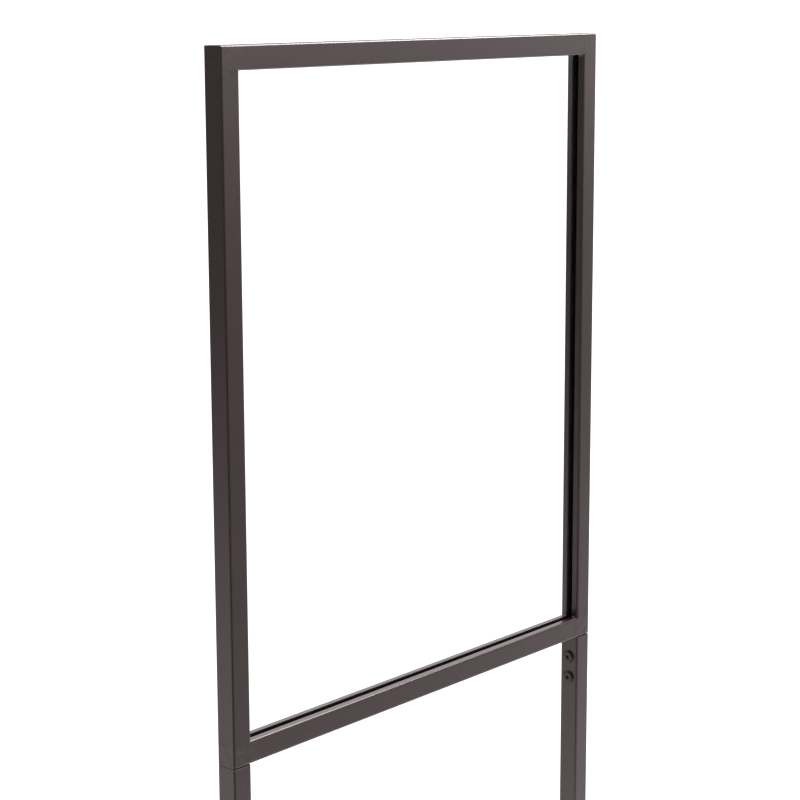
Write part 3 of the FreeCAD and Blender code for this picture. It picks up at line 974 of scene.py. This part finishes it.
def stemThreadTree():
    # a ridge that follows a helix round the stem it is given
    tree = bpy.data.node_groups.new("stemThread", "GeometryNodeTree")
    addSocket(tree, "Geometry", "NodeSocketGeometry")
    keys = {
        "turns": addSocket(tree, "Turns", "NodeSocketFloat"),
        "radius": addSocket(tree, "Helix radius", "NodeSocketFloat"),
        "height": addSocket(tree, "Helix height", "NodeSocketFloat"),
        "ridge": addSocket(tree, "Ridge size", "NodeSocketFloat"),
        "base": addSocket(tree, "Base", "NodeSocketVector"),
        "finish": addSocket(tree, "Finish", "NodeSocketMaterial"),
    }
    addSocket(tree, "Geometry", "NodeSocketGeometry", "OUTPUT")
    make, link = tree.nodes.new, tree.links.new
    start = make("NodeGroupInput")
    last = make("NodeGroupOutput")
    helix = make("GeometryNodeCurveSpiral")
    helix.inputs["Resolution"].default_value = 26
    upright = make("GeometryNodeSetCurveNormal")
    upright.mode = "Z_UP"
    ridge = make("GeometryNodeCurvePrimitiveCircle")
    ridge.inputs["Resolution"].default_value = 4
    swept = make("GeometryNodeCurveToMesh")
    swept.inputs["Fill Caps"].default_value = True
    moved = make("GeometryNodeTransform")
    joined = make("GeometryNodeJoinGeometry")
    real = make("GeometryNodeRealizeInstances")
    paint = make("GeometryNodeSetMaterial")
    link(start.outputs["Turns"], helix.inputs["Rotations"])
    link(start.outputs["Helix radius"], helix.inputs["Start Radius"])
    link(start.outputs["Helix radius"], helix.inputs["End Radius"])
    link(start.outputs["Helix height"], helix.inputs["Height"])
    link(start.outputs["Ridge size"], ridge.inputs["Radius"])
    link(helix.outputs["Curve"], upright.inputs["Curve"])
    link(upright.outputs["Curve"], swept.inputs["Curve"])
    link(ridge.outputs["Curve"], swept.inputs["Profile Curve"])
    link(swept.outputs["Mesh"], moved.inputs["Geometry"])
    link(start.outputs["Base"], moved.inputs["Translation"])
    link(start.outputs["Geometry"], joined.inputs["Geometry"])
    link(moved.outputs["Geometry"], joined.inputs["Geometry"])
    link(joined.outputs["Geometry"], real.inputs["Geometry"])
    link(real.outputs["Geometry"], paint.inputs["Geometry"])
    link(start.outputs["Finish"], paint.inputs["Material"])
    link(paint.outputs["Geometry"], last.inputs["Geometry"])
    return tree, keys


def glide(place, tree, keys, s):
    low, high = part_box(place + "_glide_pad")
    centre = (low + high) / 2

    def spot(u, v, height):
        return Vector((centre.x + u * mm, centre.y + v * mm, height * mm))

    padMesh = meshFrom(lambda shape: turnedRings(shape, padProfile(s), s["segments"], spot), "pad")
    softShade(padMesh, 40)
    pad = newPiece(place + "_glide_foot", padMesh, [plasticFinish])
    finishedPiece(pad, place + "_pad", "black_plastic", place + "_glide_pad")

    stemMesh = meshFrom(lambda shape: turnedRings(shape, stemProfile(s), s["stemSegments"], spot), "stem")
    softShade(stemMesh, 30)
    stem = newPiece(place + "_glide_screw", stemMesh, [zincFinish])
    turns = (s["tip"] - s["collarHigh"] - s["threadStart"] - s["threadEnd"]) / s["pitch"]
    thread = stem.modifiers.new("stemThread", "NODES")
    thread.node_group = tree
    thread[keys["turns"]] = turns
    thread[keys["radius"]] = (s["crest"] - s["ridge"]) * mm
    thread[keys["height"]] = turns * s["pitch"] * mm
    thread[keys["ridge"]] = s["ridge"] * mm
    thread[keys["base"]] = (centre.x, centre.y, (s["collarHigh"] + s["threadStart"]) * mm)
    thread[keys["finish"]] = zincFinish
    settle(stem)
    finishedPiece(stem, place + "_stem", "zinc_plated_steel", place + "_glide_stem")


threadTree, threadKeys = stemThreadTree()
for side in sides:
    for end in ends:
        glide(f"{side}_{end}", threadTree, threadKeys, glideSetting)
print("glides turned")


# end caps: a crowned face outside the tube and a ribbed plug inside it

capSetting = {
    "half": 12.7,
    "corner": 2.5,
    "plugHalf": 10.85,
    "plugCorner": 0.9,
    "plug": 14.0,
    "face": 3.0,
    "ribs": 4,
}


def capRows(s):  # half width, corner radius and distance out from the tube's end, in mm
    half, corner = s["half"], s["corner"]
    inside, insideCorner, inner = s["plugHalf"], s["plugCorner"], -s["plug"]
    rows = [(inside - 1.2, insideCorner, inner), (inside - 0.35, insideCorner, inner + 1.0)]
    pitch = (s["plug"] - 2.5) / s["ribs"]
    for rib in range(s["ribs"]):
        base = inner + 1.2 + rib * pitch
        rows += [(inside - 0.5, insideCorner, base), (inside, insideCorner, base + pitch * 0.55)]
    rows += [
        (inside - 0.5, insideCorner, -0.6),
        (inside - 0.5, insideCorner, 0.02),
        (half - 0.12, corner, 0.02),
        (half, corner, 0.15),
        (half, corner, 1.5),
        (half - 0.12, corner, 1.95),
        (half - 0.55, corner, 2.42),
        (half - 1.4, corner, 2.72),
        (half - 3.0, corner, 2.88),
        (half - 6.5, corner, 2.98),
        (half - 9.5, corner, s["face"]),
    ]
    return rows


def endCap(place, s):
    low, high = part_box(place + "_end_cap")
    centre = (low + high) / 2
    outward = -1 if centre.y < 0 else 1
    seat = outward * (max(abs(low.y), abs(high.y)) - s["face"] * mm)

    def build(shape):
        rings = []
        for half, corner, out in capRows(s):
            ring = [
                shape.verts.new((centre.x + u * mm, seat + outward * out * mm, centre.z + v * mm))
                for u, v in squareRing(half, corner)
            ]
            rings.append(ring)
        joinRings(shape, rings)

    mesh = meshFrom(build, "endCap")
    softShade(mesh, 35)
    piece = newPiece(place + "_end_plug", mesh, [plasticFinish])
    finishedPiece(piece, "stand", "black_plastic", place + "_end_cap")


for side in sides:
    for end in ends:
        endCap(f"{side}_{end}", capSetting)
print("end caps pressed in")


# what keeps the design's own shape: edge strips, nuts and threaded inserts

keptFinishes = {"_seal": rubberFinish, "_nuts": zincFinish, "_insert": zincFinish}

for node, source in nodes.items():
    for ending, finish in keptFinishes.items():
        if node.endswith(ending):
            for slot in source.material_slots:
                slot.material = finish
print("hidden parts finished")


# floor, white surroundings and soft studio light

floorSetting = {
    "colour": (0.84, 0.89, 0.857, 1.0),
    "roughness": 0.6,
    "radius": 6.0,
    "segments": 96,
    "fade": (1.25, 2.1),  # how far out it is whole, and how far out it is gone
}


def layFloor(s):
    def build(shape):
        bmesh.ops.create_circle(shape, cap_ends=True, segments=s["segments"], radius=s["radius"])

    mesh = meshFrom(build, "paleFloor")
    material, sheet = newFinish("paleFloor")
    x, y, z = sheet.axes(sheet.objectPlace())
    fade = sheet.rise((x * x + y * y).root(), *s["fade"])
    matt = sheet.node("ShaderNodeBsdfDiffuse", inputs={"Color": s["colour"], "Roughness": s["roughness"]})
    through = sheet.node("ShaderNodeBsdfTransparent")
    closeFinish(sheet, sheet.node("ShaderNodeMixShader", inputs={0: fade, 1: matt, 2: through}))
    floor = newPiece("paleFloor", mesh, [material])


# a Way is a level direction, and an Edge is the pair of values between which something fades in;
# a Layer is an Edge to fade in over and an Edge to fade out over, going up
roomSetting = {
    "tint": (1.0, 0.94, 0.98, 1.0),
    "white": 1.5,  # what the camera sees behind the guard
    "horizon": 0.10,
    "ground": 1.00,
    "groundEdge": (0.12, 0.37),
    "dimWay": (0.500, -0.866),  # the dim side that the guard faces
    "dimEdge": (0.86, 0.97),
    "dimGround": 0.50,
    "dimGroundEdge": (0.29, 0.42),
    "overhead": 1.35,
    "overheadEdge": (0.44, 0.76),
    "backdrop": 1.15,
    "backdropWay": (0.759, 0.651),
    "backdropEdge": (0.50, 0.85),
    "backdropRise": (0.04, 0.30),
    "darkness": 0.88,  # of the room past the camera
    "darkEdge": (0.60, 0.92),
    "darkTop": (0.70, 0.95),
    "litLayer": ((-0.19, -0.02), (0.10, 0.22)),
    "sideWay": (0.760, -0.650),
    "sideEdge": (0.45, 0.85),
    "sideFill": 0.20,
    "sideLight": 1.40,
    "sideLayer": ((-0.12, 0.0), (0.06, 0.16)),
    "windows": 0.22,
    "windowLayer": ((-0.12, 0.0), (0.04, 0.14)),
}


def whiteSurroundings(s):
    world = bpy.data.worlds.new("studio")
    world.use_nodes = True
    scene.world = world
    sheet = Sheet(world.node_tree)
    x, y, z = sheet.axes(sheet.node("ShaderNodeTexCoord", output="Generated"))
    level = (x * x + y * y + 0.000001).root()

    def towards(way):
        return (x * way[0] + y * way[1]) / level

    def layer(bottom, top):
        return sheet.rise(z, *bottom) * (1.0 - sheet.rise(z, *top))

    backward = towards(s["backdropWay"])
    dim = sheet.rise(towards(s["dimWay"]), *s["dimEdge"])
    sideways = sheet.rise(towards(s["sideWay"]), *s["sideEdge"])
    past = sheet.rise(-backward, *s["darkEdge"])
    dark = past * (1.0 - sheet.rise(z, *s["darkTop"])) * (1.0 - layer(*s["litLayer"]))
    ground = s["ground"] * sheet.rise(-z, *s["groundEdge"]) * (1.0 - dim)
    ground = ground + s["dimGround"] * sheet.rise(-z, *s["dimGroundEdge"]) * dim
    above = s["overhead"] * sheet.rise(z, *s["overheadEdge"])
    backdrop = sheet.rise(backward, *s["backdropEdge"]) * sheet.rise(z, *s["backdropRise"])
    sideBox = s["sideFill"] + s["sideLight"] * layer(*s["sideLayer"])
    windows = s["windows"] * layer(*s["windowLayer"])
    light = (s["horizon"] + ground + above) * (1.0 - dark * s["darkness"])
    light = light + s["backdrop"] * backdrop
    light = light + sideways * (1.0 - dim * 0.45) * sideBox
    light = light + windows * (1.0 - sideways) * (1.0 + past * 1.4)
    seen = sheet.node("ShaderNodeLightPath", output="Is Camera Ray")
    strength = light * (1.0 - seen) + s["white"] * seen
    glow = sheet.node("ShaderNodeBackground", inputs={"Color": s["tint"], "Strength": strength})
    sheet.node("ShaderNodeOutputWorld", inputs={"Surface": glow})


lightSetting = {
    "overheadBox": {"spot": (1.55, -0.25, 3.10), "aim": (0.0, 0.0, 1.2), "size": 0.9, "power": 34.0},
    "frontBox": {"spot": (0.8, -2.2, 2.3), "aim": (0.1, 0.0, 1.2), "size": 1.2, "power": 17.0},
}


def hangLights(setting):
    for name, s in setting.items():
        data = bpy.data.lights.new(name, "AREA")
        data.shape = "SQUARE"
        data.size = s["size"]
        data.energy = s["power"]
        lamp = bpy.data.objects.new(name, data)
        lamp.location = s["spot"]
        lamp.rotation_euler = (Vector(s["aim"]) - Vector(s["spot"])).to_track_quat("-Z", "Y").to_euler()
        lamp.visible_camera = False
        scene.collection.objects.link(lamp)


layFloor(floorSetting)
whiteSurroundings(roomSetting)
hangLights(lightSetting)
scene.view_settings.view_transform = "Standard"
print("studio lit")
